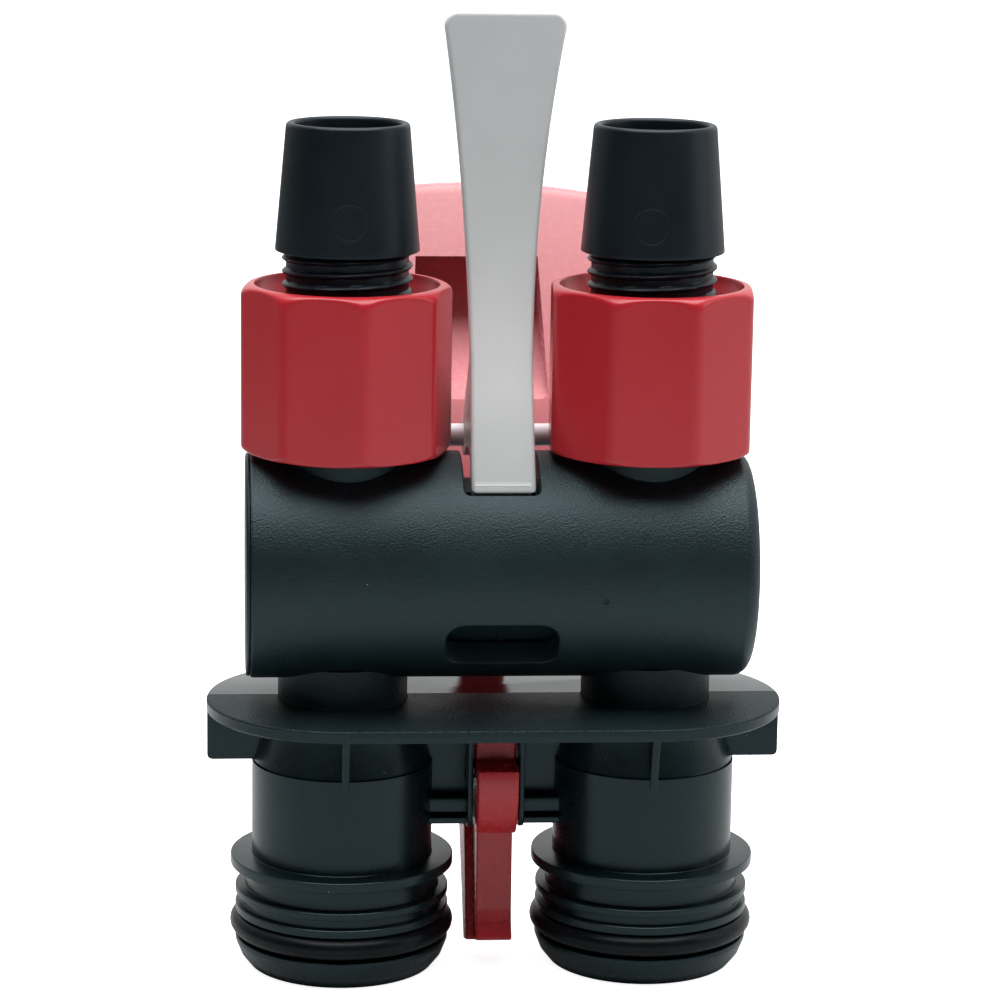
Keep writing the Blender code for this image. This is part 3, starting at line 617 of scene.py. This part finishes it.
def nuts(material):
    top, bottom = [], []
    for i in range(15):
        t = math.pi / 2 * i / 14
        top.append((12.08 + 2.1 * math.sin(t), NUT_TOP - 2.3 * (1 - math.cos(t))))
    for i in range(13):
        t = math.pi / 2 * i / 12
        bottom.append((12.35 + 1.9 * math.sin(t), NUT_BOTTOM + 1.6 * (1 - math.cos(t))))
    for name, side in SIDES.items():
        facing = NUT_FACING_DEG[name]
        walls = [(15.0, 36.5 + (54.1 - 36.5) * i / 20) for i in range(21)]
        funnel = [(11.98, 56.47), (11.93, 56.35), (11.88, 56.1), (11.6, 55.2), (10.6, 53.9), (8.9, 49.2)]
        funnel += [(8.7, 48.8), (8.7, 35.2), (9.1, 34.75)]
        outer = [*bottom, *walls, *top[::-1]]
        profile = outer + [(12.04, 56.5)] + funnel
        count = len(outer)

        def rounded(index, radius, height, degrees, facing=facing, count=count):
            if index >= count:
                return radius
            return soft_min(octagon_radius(degrees, facing - 90), radius, 0.35)

        made = turned(profile, about=(side * UPPER_X, 0), sides=192, radius_at=rounded)
        piece(f"{name}_nut", made, f"{name}_nut", material, [f"{name}_union_nut"], 50)


# ---------------------------------------------------------------- housing


def housing(material):
    right_end = arc((HOUSING_R - 2.0, 31.0), 2.0, 0, 90, 10)
    shell = [(0, -32.25), (14.45, -32.25), (14.68, -32.15), (HOUSING_R, -31.85), *right_end, (0, 33.0)]
    fused, cuts = [], []
    for side in SIDES.values():
        port, upper = (side * PORT_X, 0), (side * UPPER_X, 0)
        spigot = [(0, SPIGOT_BOTTOM), (8.3, SPIGOT_BOTTOM), (SPIGOT_R, -8.2), (SPIGOT_R, -4.9), (7.0, -4.9)]
        spigot += [(7.0, -3.1), (SPIGOT_R, -3.1), (SPIGOT_R, 7.0), (0, 7.0)]
        boss = [(0, 31.0), (BOSS_R, 31.0), (BOSS_R, 44.2), (7.8, BOSS_TOP), (0, BOSS_TOP)]
        fused += [turned(boss, about=upper, sides=96), turned(spigot, about=port, sides=96)]
        bore = [(0, SPIGOT_BOTTOM - 1), (6.1, SPIGOT_BOTTOM - 1), (6.1, 3.0), (PORT_BORE_R, 3.0)]
        bore += [(PORT_BORE_R, 35.5), (6.3, 35.5), (6.3, BOSS_TOP + 1), (0, BOSS_TOP + 1)]
        cuts.append(turned(bore, about=port, sides=64))
    cavity = [(0, -33.0), (CAVITY_R, -33.0), (CAVITY_R, 30.0), (0, 30.0)]
    cuts = [turned(cavity, "X", AXIS), *cuts]
    cuts.append(radial_cutter(4.85, 15.0, 131.0, 0.85, 10.0, 0.25))
    cuts.append(radial_cutter(7.2, 200.4, 227.5, 2.4, 9.0, 0.35))
    cuts.append(turned([(0, -15.3), (0.5, -15.3), (0.4, -14.5), (0, -14.5)], "Y", (17.8, 12.96), 24))
    made = joined(turned(shell, "X", AXIS), fused, cuts)
    rounds = [("X", AXIS, HOUSING_R), ("X", AXIS, CAVITY_R)]
    for side in SIDES.values():
        rounds += [("Z", (side * UPPER_X, 0), BOSS_R), ("Z", (side * PORT_X, 0), SPIGOT_R)]
    piece("housing", made, "block", material, ["valve_housing"], 30, rounds)
    rim = [(0, -32.8), (13.9, -32.8), (14.3, -32.76), (14.5, -32.65), (14.6, -32.45), (14.55, -32.3)]
    cap = turned([*rim, (14.3, -32.24), (11.7, -32.2), (11.7, -30.1), (0, -30.1)], "X", AXIS)
    piece("cap", cap, "block", material, ["end_cap"], 40)


def foot_outline(first_r, last_r, half_thick):
    """The bar that joins the grey lever to the barrel, along one radius, as a (y, z) outline."""
    inner, outer = polar(AXIS, first_r, FOOT_DEG), polar(AXIS, last_r, FOOT_DEG)
    across = polar((0, 0), half_thick, FOOT_DEG + 90)
    corners = ((inner, 1), (inner, -1), (outer, -1), (outer, 1))
    return [(p[0] + s * across[0], p[1] + s * across[1]) for p, s in corners]


def barrel(material):
    """The turning barrel, with a raised key that shows in the housing's low window."""
    end, groove_r, groove_half = 29.7, 9.75, 0.95
    profile = [(0, -end), (BARREL_R, -end)]
    for x in (-28.4, -11.2, 11.2, 28.4):
        low, high = x - groove_half, x + groove_half
        profile += [(BARREL_R, low), (groove_r, low), (groove_r, high), (BARREL_R, high)]
    profile += [(BARREL_R, end), (0, end)]
    bore = [(0, 0), (PORT_BORE_R, 0), (PORT_BORE_R, 39), (0, 39)]
    cuts = [turned(bore, about=(side * PORT_X, 0), sides=64) for side in (-1, 1)]
    cuts.append(prism(foot_outline(6.2, 15.7, 1.8), -4.65, 4.65, "X"))
    key = prism(arc(AXIS, 11.65, 199, 228, 12) + arc(AXIS, 11.0, 228, 199, 12), -0.3, 0.1, "X")
    made = joined(turned(profile, "X", AXIS), [key], cuts)
    rounds = [("X", AXIS, BARREL_R)]
    piece("barrel", made, "water_stop", material, ["valve_barrel"], 30, rounds)


# ---------------------------------------------------------------- plug plate


def plug_shape(side):
    """Outer side of one plug, from its tapered nose up to the narrowed tube inside the plate."""
    profile = [
        (0, PLUG_BOTTOM), (12.2, PLUG_BOTTOM), (13.4, -33.0), (14.1, -31.2), (14.1, -30.6), (11.6, -30.6),
        (11.6, -27.2), (14.1, -27.2), (14.1, -26.1), (13.2, -26.1), (13.2, -24.8), (14.1, -24.8),
        (14.1, -23.8), (12.8, -23.8), (12.8, -20.9), (14.72, -20.9), (14.72, -19.5), (TUBE_R, -19.5),
        (TUBE_R, -6.75), (11.66, -6.6), (11.6, -6.2), (TUBE_TOP_R, -2.1), (TUBE_TOP_R, 0.8), (0, 0.8),
    ]
    return turned(softened(profile, 0.22, 3, keep=(0, 18, 21, 22, 23)), about=(side * PORT_X, 0))


def plug_plate(material):
    steps = 48
    stadium = arc((PORT_X, 0), PLATE_R, -90, 90, steps) + arc((-PORT_X, 0), PLATE_R, 90, 270, steps)
    fused, cuts = [], []
    front, back = arc((-3.6, -13.0), 2.2, 180, 270, 10), arc((3.6, -13.0), 2.2, 270, 340, 8)
    ear = [(-5.8, 0.8), *front, *back, (8.0, 0.8)]
    for side in SIDES.values():
        x = side * PORT_X
        bridge = sorted((side * 3.4, side * 10.1))
        lug = sorted((side * 3.0, side * 3.75))
        web = [(0.6, side * 29.9), (-6.6, side * 29.9), (-6.6, side * 37.8), (0.6, side * 37.8)]
        gusset = [(-9.9, 0.4), (-14.5, 0.4), (-14.5, -0.6), (-12.0, -8.2), (-9.9, -8.2)]
        fused += [
            plug_shape(side),
            prism(gusset, x - 0.5, x + 0.5, "X", 0.15),
            prism(softened(web, 0.8, 5, keep=(0, 1, 3)), -1.2, 1.2, "Y", 0.25),
            block((bridge[0], -0.7, -14.7), (bridge[1], 0.9, 0.5), 0.1),
            block((bridge[0], -3.2, -13.55), (bridge[1], 3.2, -11.45), 0.3),
            block((bridge[0], -3.2, -15.1), (bridge[1], 3.2, -14.15), 0.2),
            prism(ear, *lug, "X", 0.2),
        ]
        bore = [(0, PLUG_BOTTOM - 1), (9.9, PLUG_BOTTOM - 1), (9.6, -34.2), (9.6, -10.0), (0, -10.0)]
        socket = [(0, -10.5), (8.8, -10.5), (8.8, -0.5), (8.56, 0), (8.56, 1.95), (0, 1.95)]
        cuts += [turned(hole, about=(x, 0), sides=96) for hole in (bore, socket)]
    cuts.append(turned([(0, -3.8), (1.6, -3.8), (1.6, 3.8), (0, 3.8)], "X", PIVOT, 32))
    parting_line = [(-38.0, 0.93), (38.0, 0.93), (38.0, 1.05), (-38.0, 1.05)]
    cuts.append(prism(parting_line, 1.56, 2.2, "Z"))
    made = joined(prism(stadium, 0, PLATE_TOP, "Z", 0.3), fused, cuts)
    rounds = []
    for side in SIDES.values():
        rounds += [("Z", (side * PORT_X, 0), r) for r in (TUBE_R, PLATE_R)]
    piece("plate", made, "block", material, ["plug_plate"], 30, rounds)


# ---------------------------------------------------------------- levers


def lever_front(height):
    """The y of the grey lever's front, which bends along a circle."""
    return LEVER_BEND[0] + math.sqrt(LEVER_BEND_R**2 - (height - LEVER_BEND[1]) ** 2)


def lever_half(height):
    """Half the grey lever's width, narrowest at its waist."""
    rise = max(0, (height - LEVER_WAIST_Z) / 44.5)
    low = max(0, (LEVER_WAIST_Z - height) / 13.5)
    return 4.05 + 3.6 * rise**1.9 + 0.1 * low


def water_stop_lever(material, bar_material):
    """The paddle's sections are rounded rectangles that shrink into its round top and bottom edges."""
    top, corner, edge, thick, bottom, lip = LEVER_TOP, 2.0, 0.62, LEVER_THICK, 30.9, 0.4
    heights = [bottom + lip * (1 - math.cos(math.pi / 2 * i / 4)) for i in range(4)]
    heights += [bottom + lip + (top - corner - bottom - lip) * i / 52 for i in range(53)]
    heights += [top - corner + corner * math.sin(math.pi / 2 * i / 12) for i in range(1, 12)] + [top - 0.004]
    sections = []
    for z in heights:
        half = lever_half(min(z, top - corner))
        if z > top - corner:
            half -= corner - math.sqrt(corner**2 - (z - top + corner) ** 2)
        pinch = 0.0
        if z > top - edge:
            pinch = edge - math.sqrt(edge**2 - (z - top + edge) ** 2)
        if z < bottom + lip:
            pinch = lip - math.sqrt(max(lip**2 - (bottom + lip - z) ** 2, 0))
            half -= pinch
            pinch *= 0.6
        shape = rounded_rectangle(half, thick / 2 - pinch, max(edge - pinch, 0.03), 5, 100)
        slope = -(z - LEVER_BEND[1]) / math.sqrt(LEVER_BEND_R**2 - (z - LEVER_BEND[1]) ** 2)
        middle = lever_front(z) + thick / 2 * math.hypot(1, slope)
        sections.append([(x + 0.15, middle + d * math.hypot(1, slope), z) for x, d in shape])
    fused = []
    half = 3.75
    fused.append(prism(foot_outline(6.5, 15.4, 1.5), -half + 0.02, half - 0.02, "X", 0.3))
    under = arc(AXIS, 15.2, 117, 66, 14)
    eye = arc(CROSS_BAR, 2.7, -110, 70, 18)
    rib = [*under, *eye, (lever_front(47) + 2.2, 47.5), (lever_front(36) + 1, 36)]
    for side in SIDES.values():
        fused.append(prism(rib, *sorted((side * 3.9, side * 2.8)), "X", 0.2))
    bore = turned([(0, -9), (1.8, -9), (1.8, 9), (0, 9)], "X", CROSS_BAR, 40)
    made = joined(lofted(sections), fused, [bore])
    piece("water_stop_paddle", made, "water_stop", material, ["water_stop_lever"], 38)
    ends = [(0, -8.0), (1.1, -8.0), (1.35, -7.9), (1.5, -7.65)]
    bar = turned([*ends, *[(r, -x) for r, x in reversed(ends)]], "X", CROSS_BAR, 48)
    piece("cross_bar", bar, "water_stop", bar_material, ["lever_cross_bar"], 40)


def spade_front(height):
    """The y of the blade's front, which leans back more and more towards its top."""
    rise = height / SPADE_TOP
    return 18.9 + 14.6 * rise + 14.5 * rise**1.8


def spade_half(height):
    opening = min(max((height - 4) / 46, 0), 1)
    return 3.0 + 20.5 * math.sin(opening * math.pi / 2) ** 1.5 + opening * 0.5


def spade():
    """The lock lever's curved blade: two parallel skins whose shared edge is rounded."""
    low, peak, arch, corner, edge = -0.6, SPADE_TOP, 107.0, 4.0, 0.8
    near_edge = [0.0, 0.02, 0.08, 0.2, 0.42, 0.8]
    rows = [low + (peak - corner - low) * i / 56 for i in range(57)]
    rows += [peak - corner + (corner - edge) * i / 8 for i in range(1, 8)]
    rows += [peak - d for d in near_edge[::-1]]
    across = 22
    skins = {"front": [], "back": []}
    for z0 in rows:
        half = spade_half(min(z0, peak - corner))
        if z0 > peak - corner:
            half -= corner - math.sqrt(max(corner**2 - (z0 - peak + corner) ** 2, 0))
        xs = [d - half for d in near_edge] + [(half - edge) * (2 * i / across - 1) for i in range(1, across)]
        xs += [half - d for d in near_edge[::-1]]
        sides = {"front": [], "back": []}
        for x in xs:
            drop = arch - math.sqrt(arch**2 - x * x)
            z = z0 - drop * max(0, (z0 - 30) / (peak - 30))
            depth = min(half - abs(x), peak - z0)
            fall = edge - math.sqrt(max(edge**2 - (edge - min(depth, edge)) ** 2, 0))
            thick = 3.0 + 1.5 * min(1, max(0, (24 - z) / 8))
            y = spade_front(max(z, 0))
            sides["front"].append((x, y + fall, z))
            sides["back"].append((x, y + thick - fall, z))
        for skin, points in sides.items():
            skins[skin].append(points)
    made = bmesh.new()
    grids = {skin: [[made.verts.new(p) for p in row] for row in grid] for skin, grid in skins.items()}
    for grid in grids.values():
        for lower, upper in zip(grid, grid[1:]):
            for i in range(len(lower) - 1):
                made.faces.new((lower[i], lower[i + 1], upper[i + 1], upper[i]))
    rims = {}
    for skin, grid in grids.items():
        right, left = [row[-1] for row in grid[1:]], [row[0] for row in grid[-2:0:-1]]
        rims[skin] = grid[0] + right + grid[-1][-2::-1] + left
    front, back = rims["front"], rims["back"]
    for i in range(len(front)):
        made.faces.new((front[i - 1], front[i], back[i], back[i - 1]))
    bmesh.ops.recalc_face_normals(made, faces=made.faces)
    return made


def curve(start, control, end, steps):
    """Points along a quadratic curve."""
    return [
        tuple(a * (1 - t) ** 2 + b * 2 * t * (1 - t) + c * t * t for a, b, c in zip(start, control, end))
        for t in (i / steps for i in range(steps + 1))
    ]


def scoop_cutter():
    """The finger scoop: a slanted hollow whose side walls come together towards its top."""
    path = curve((spade_front(35) - 2.0, 34.6), (spade_front(35) + 19.5, 42.6), (55.1, 54.0), 18)
    sections = []
    for y, z in path:
        half = 9.6 - (z - 35) / 19
        front = min(y - 0.5, spade_front(z) - 3)
        corner = 1.6
        shape = [(-half, front), (half, front), *[(half - corner + p[0], y - corner + p[1]) for p in
                 arc((0, 0), corner, 0, 90, 5)]]
        shape += [(-half + corner + p[0], y - corner + p[1]) for p in arc((0, 0), corner, 90, 180, 5)]
        sections.append([(x, max(b, front + 0.2) if b > front else b, z) for x, b in shape])
    return lofted(sections)


def lock_lever(material):
    shell_back = curve((spade_front(31.5) + 1.2, 31.5), (54.2, 40.8), (57.1, 54.0), 16)
    shell = [*shell_back, (57.1, 56.0), (spade_front(56) + 1, 56.0)]
    nose = arc(PIVOT, 9.2, 167.5, 213, 24) + arc(PIVOT, 9.06, 213.3, 236, 12)
    body = [*arc(PIVOT, 7.3, 60, 118, 12), (-4.5, -6.0), *nose, (2.0, -15.4), (14.0, -13.0)]
    body += [(24.0, -8.0), (24.0, 1.5), (19.6, 1.5), (18.9, -0.9)]
    claw = [(-4.2, -12.0), (-4.2, -26.6), (-4.5, -28.2), (-5.6, -30.1), (-5.4, -30.5)]
    claw += [(3.0, -33.2), (18.3, -16.2), (17.0, -12.2)]
    heel = [(4.8, -16.2), (-1.5, -31.7), (2.9, -33.05), (18.1, -16.3)]
    fused = [
        prism(softened(shell, 1.2), -11.6, 11.6, "X", 0.8),
        prism(softened(body, 0.4), -2.65, 2.65, "X", 0.3),
        prism(softened(claw, 0.4), -2.35, 2.35, "X", 0.25),
        prism(softened(heel, 0.4), -3.45, -1.85, "X", 0.25),
    ]
    bore = turned([(0, -9), (1.6, -9), (1.6, 9), (0, 9)], "X", PIVOT, 40)
    made = joined(spade(), fused, [scoop_cutter(), bore])
    piece("lock_lever_body", made, "lock", material, ["lock_lever"], 38)


def small_pieces(rubber_material, steel_material):
    for name, side in SIDES.items():
        about = (side * PORT_X, 0)
        seal = ring(13.35, 1.45, -28.8, about=about)
        piece(f"{name}_plug_seal", seal, "block", rubber_material, [f"{name}_plug_oring"], 60)
    ends = [(0, -3.45), (1.0, -3.45), (1.2, -3.38), (PIN_R, -3.2)]
    pin = turned([*ends, *[(r, -x) for r, x in reversed(ends)]], "X", PIVOT, 48)
    piece("pin", pin, "block", steel_material, ["lock_pin"], 40)


# ---------------------------------------------------------------- studio


def aim(thing, target):
    thing.rotation_euler = (Vector(target) - thing.location).to_track_quat("-Z", "Y").to_euler()


def lamp(name, place, target, size, watts):
    light = bpy.data.lights.new(name, "AREA")
    light.shape = "RECTANGLE"
    light.size, light.size_y = size
    light.energy = watts
    thing = bpy.data.objects.new(name, light)
    thing.location = place
    bpy.context.scene.collection.objects.link(thing)
    aim(thing, target)


def surroundings():
    """Light from all round: bright behind and overhead, dim in front, and flagged off on the left."""
    world = bpy.data.worlds.new("studio")
    bpy.context.scene.world = world
    world.use_nodes = True
    tree = world.node_tree
    back = tree.nodes["Background"]
    back.inputs["Color"].default_value = (1, 1, 1, 1)
    direction = tree.nodes.new("ShaderNodeSeparateXYZ")
    tree.links.new(tree.nodes.new("ShaderNodeTexCoord").outputs["Generated"], direction.inputs["Vector"])

    def ramp(axis, start, end, least, most):
        node = tree.nodes.new("ShaderNodeMapRange")
        tree.links.new(direction.outputs[axis], node.inputs["Value"])
        for key, amount in (("From Min", start), ("From Max", end), ("To Min", least), ("To Max", most)):
            node.inputs[key].default_value = amount
        return node.outputs["Result"]

    def combined(operation, first, second):
        node = tree.nodes.new("ShaderNodeMath")
        node.operation = operation
        tree.links.new(first, node.inputs[0])
        tree.links.new(second, node.inputs[1])
        return node.outputs["Value"]

    behind, overhead = ramp("Y", -0.25, 0.45, FRONT_LIGHT, 1.0), ramp("Z", 0.72, 0.95, FRONT_LIGHT, 0.8)
    left_flag = ramp("X", -0.9, -0.25, 0.3, 1.0)
    strength = combined("MULTIPLY", combined("MAXIMUM", behind, overhead), left_flag)
    tree.links.new(strength, back.inputs["Strength"])


def studio_floor(height):
    """Pale paper. The light it throws back onto the object ends on the left and far in front, where the
    paper is painted dark for all but camera rays, as painted shade.
    """
    made = bmesh.new()
    bmesh.ops.create_grid(made, x_segments=4, y_segments=4, size=6000)
    for vertex in made.verts:
        vertex.co.z = height / UNIT - 0.1
    floor = new_object("floor", made)
    g = Graph("floor_paper", (0.82, 0.84, 0.84), 0.9, Specular_IOR_Level=0.0)
    g.shader.inputs["Emission Color"].default_value = (1, 1, 1, 1)
    paper = g.blend(g.spread(g.noise(9.0, 3.0), 0.3, 0.7), (0.80, 0.82, 0.82), (0.82, 0.84, 0.84))
    dimmer = g.blend(g.spread(g.noise(9.0, 3.0), 0.3, 0.7), (0.60, 0.62, 0.62), (0.62, 0.64, 0.64))
    place = g.coordinates()
    # painted shade: the paper darkens on the left and far in front for all but camera rays
    shaded_left = g.blend(g.spread(place["X"], -0.33, -0.2), SHADED_PAPER, dimmer)
    near = g.blend(g.spread(place["Y"], -0.50, -0.42), SHADED_PAPER, shaded_left)
    seen = g.add("ShaderNodeLightPath").outputs["Is Camera Ray"]
    g.colour(g.blend(seen, near, paper))
    g.link(g.math("MULTIPLY", seen, 0.9), g.shader.inputs["Emission Strength"])
    floor.data.materials.append(g.material)


def lamps():
    lamp("top", (0.0, -0.06, 0.80), (0, -0.06, 0.02), (0.9, 0.80), 12.6)
    lamp("right", (0.65, -0.12, 0.30), (0, 0, 0.03), (0.3, 0.5), 0.8)


def camera():
    """A long lens, a little left of the front and 12 degrees above."""
    data = bpy.data.cameras.new("camera")
    data.lens, data.sensor_width = CAMERA_LENS, CAMERA_SENSOR
    data.clip_start, data.clip_end = 0.01, 50
    thing = bpy.data.objects.new("camera", data)
    bpy.context.scene.collection.objects.link(thing)
    yaw, pitch, roll = (math.radians(a) for a in (CAMERA_YAW, CAMERA_PITCH, CAMERA_ROLL))
    back = Vector((-math.sin(yaw) * math.cos(pitch), -math.cos(yaw) * math.cos(pitch), math.sin(pitch)))
    right = (-back).cross(Vector((0, 0, 1))).normalized()
    up = right.cross(-back)
    across = math.cos(roll) * right - math.sin(roll) * up
    above = math.sin(roll) * right + math.cos(roll) * up
    turn = Matrix((across, above, back)).transposed().to_4x4()
    place = Vector(CAMERA_TARGET) + back * CAMERA_DISTANCE
    thing.matrix_world = Matrix.Translation(place) @ turn
    bpy.context.scene.camera = thing


# ---------------------------------------------------------------- build

cad_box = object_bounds()
smooth_black = black_satin("black_smooth").material
grained_black = black_satin("black_grained", grain=0.000055, rough=0.42, shine=0.42).material
nozzle_black = black_satin("black_nozzle", tint=(0.0036, 0.0066, 0.0088))
nozzle_black.shader.inputs["Specular Tint"].default_value = (0.70, 0.80, 0.94, 1)
gate_marks(nozzle_black, ((-0.0197, 0.0652), (0.0185, 0.0649)), 0.00225)
plate_black = plate_satin("black_plate").material
red = red_satin("red", (0.41, 0.015, 0.023), (0.44, 0.021, 0.030), 0.24).material
lever_red = red_satin("red_lever", (0.40, 0.016, 0.022), (0.43, 0.022, 0.030), 0.26, True).material
grey = grey_satin("grey", painted_low_shade=True).material
black_rubber = rubber("rubber").material
plain_steel = steel("steel").material
by_slot = {
    "black_plastic": smooth_black,
    "red_plastic": red,
    "grey_plastic": grey,
    "rubber": black_rubber,
    "steel": plain_steel,
}
slots = {part["node"]: part["material_slot"] for part in frame["record"]["subparts"]}
for name, node in frame["nodes"].items():
    node.data.materials.clear()
    node.data.materials.append(by_slot[slots[name]])

nozzles(nozzle_black.material)
nuts(red)
housing(grained_black)
barrel(smooth_black)
plug_plate(plate_black)
# painted light: the cross bar's paler grey lifts it out of the shade it sits in behind the lever
water_stop_lever(grey, grey_satin("grey_bar", (0.86, 0.87, 0.90)).material)
lock_lever(lever_red)
small_pieces(black_rubber, plain_steel)
surroundings()
studio_floor(cad_box[0][2])
lamps()
camera()
bpy.context.scene.view_settings.view_transform = "Standard"
